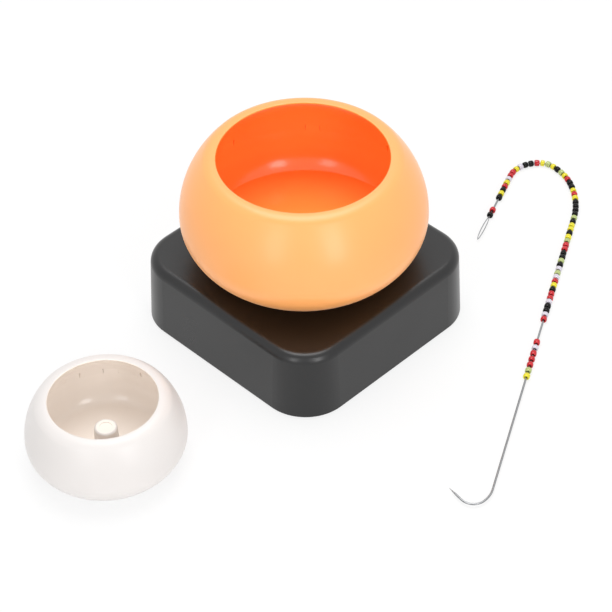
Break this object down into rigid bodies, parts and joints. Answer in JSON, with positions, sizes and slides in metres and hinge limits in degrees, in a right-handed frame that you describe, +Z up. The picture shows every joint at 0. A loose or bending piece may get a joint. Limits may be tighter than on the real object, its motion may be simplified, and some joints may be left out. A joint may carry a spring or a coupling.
{
  "type": "electric bead spinner set",
  "caption": "Electric bead spinner: a square motor case turns a lift-off bowl on a hexagonal peg, with a smaller spare bowl and a hooked wire needle threaded with seed beads beside it.",
  "frame": {"origin": "on the spindle's axis at the level of the table that the rubber feet stand on", "axes": "+Z up along the spindle; X and Y along the sides of the square case; +Y out of the control panel; -Y and +X are the two sides that the picture shows"},
  "size_m": [0.2254, 0.3656, 0.1035],
  "materials": {
    "abs_black": "fine satin moulded black ABS",
    "rubber_grey": "soft matt dark rubber",
    "screw_steel": "zinc plated steel screws",
    "bowl_orange": "satin gloss orange ABS",
    "bowl_cream": "satin gloss cream ABS",
    "spindle_steel": "ground steel",
    "bronze": "sintered bronze",
    "nylon_white": "natural white nylon",
    "peg_black": "satin black acetal",
    "plate_grey": "grey glass filled nylon",
    "cell_jacket": "plain dark printed cell jacket",
    "nickel": "nickel plated spring steel",
    "can_steel": "plated steel can",
    "ferrite": "dark ferrite",
    "copper": "enamelled copper",
    "pcb_green": "green solder mask on glass epoxy",
    "component_black": "black component mouldings",
    "lead_red": "red PVC insulation",
    "lead_black": "black PVC insulation",
    "pot_metal": "plated control body",
    "knob_black": "satin black knob",
    "switch_black": "satin black nylon",
    "needle_steel": "bright stainless spring wire",
    "bead_red": "opaque red glass",
    "bead_yellow": "opaque yellow glass",
    "bead_black": "opaque black glass",
    "bead_green": "opaque green glass",
    "bead_clear": "clear glass",
    "rocker_black": "gloss black rocker"
  },
  "bodies": {
    "case": {"case_shell": "abs_black", "bottom_cover": "abs_black", "rubber_feet": "rubber_grey", "cover_screws": "screw_steel", "aa_cells": "cell_jacket", "battery_contacts": "nickel", "battery_springs": "nickel", "gear_plate": "plate_grey", "gear_plate_screws": "screw_steel", "motor_screws": "screw_steel", "board_screws": "screw_steel", "idler_pin": "spindle_steel", "idler_washer": "nylon_white", "thrust_washer": "nylon_white", "lower_bush": "bronze", "upper_bush": "bronze", "motor_can": "can_steel", "motor_end_cap": "component_black", "motor_bushes": "bronze", "motor_magnets": "ferrite", "motor_brushes": "copper", "circuit_board": "pcb_green", "board_components": "component_black", "speed_control": "pot_metal", "control_nut": "nickel", "switch_frame": "switch_black", "switch_terminals": "nickel", "power_inlet_shell": "nickel", "power_inlet_tongue": "component_black", "red_leads": "lead_red", "black_leads": "lead_black"},
    "spindle_set": {"spindle": "spindle_steel", "spindle_gear": "nylon_white", "drive_hub": "peg_black", "hub_screw": "screw_steel", "spindle_clip": "spindle_steel"},
    "idler": {"idler_gear": "nylon_white"},
    "motor_rotor": {"motor_shaft": "spindle_steel", "rotor_core": "can_steel", "rotor_windings": "copper", "commutator": "copper", "motor_pinion": "bronze"},
    "large_bowl": {"large_bowl_dome": "bowl_orange", "large_bowl_dish": "bowl_orange", "large_bowl_socket": "bowl_orange"},
    "knob": {"speed_knob": "knob_black", "control_shaft": "spindle_steel"},
    "rocker": {"switch_rocker": "rocker_black"},
    "door": {"battery_door": "abs_black"},
    "small_bowl": {"small_bowl_dome": "bowl_cream", "small_bowl_dish": "bowl_cream", "small_bowl_socket": "bowl_cream"},
    "needle": {"needle_wire": "needle_steel", "beads_red": "bead_red", "beads_yellow": "bead_yellow", "beads_black": "bead_black", "beads_green": "bead_green", "beads_clear": "bead_clear"}
  },
  "joints": [
    {"name": "spindle_spin", "type": "hinge", "parent": "case", "child": "spindle_set", "pos_m": [0, 0, 0.0417], "axis": [0, 0, 1], "continuous": true},
    {"name": "idler_spin", "type": "hinge", "parent": "case", "child": "idler", "pos_m": [0.02359, 0.01652, 0.028], "axis": [0, 0, 1], "continuous": true},
    {"name": "motor_spin", "type": "hinge", "parent": "case", "child": "motor_rotor", "pos_m": [0.04614, 0.00831, 0.016], "axis": [0, 0, 1], "continuous": true},
    {"name": "large_bowl_lift", "type": "slide", "parent": "spindle_set", "child": "large_bowl", "axis": [0, 0, 1], "range_m": [0, 0.03]},
    {"name": "speed_knob_turn", "type": "hinge", "parent": "case", "child": "knob", "pos_m": [-0.027, 0.0633, 0.019], "axis": [0, -1, 0], "range_deg": [0, 300]},
    {"name": "power_rocker", "type": "hinge", "parent": "case", "child": "rocker", "pos_m": [0.004, 0.0625, 0.019], "axis": [1, 0, 0], "range_deg": [0, 14]},
    {"name": "battery_door_drop", "type": "slide", "parent": "case", "child": "door", "axis": [0, 0, -1], "range_m": [0, 0.025]},
    {"name": "small_bowl_lift", "type": "slide", "parent": "case", "child": "small_bowl", "axis": [0, 0, 1], "range_m": [0, 0.05]},
    {"name": "needle_lift", "type": "slide", "parent": "case", "child": "needle", "axis": [0, 0, 1], "range_m": [0, 0.05]}
  ],
  "couplings": [
    {"joint": "idler_spin", "follows": "spindle_spin", "ratio": -3.5},
    {"joint": "motor_spin", "follows": "spindle_spin", "ratio": 14}
  ]
}
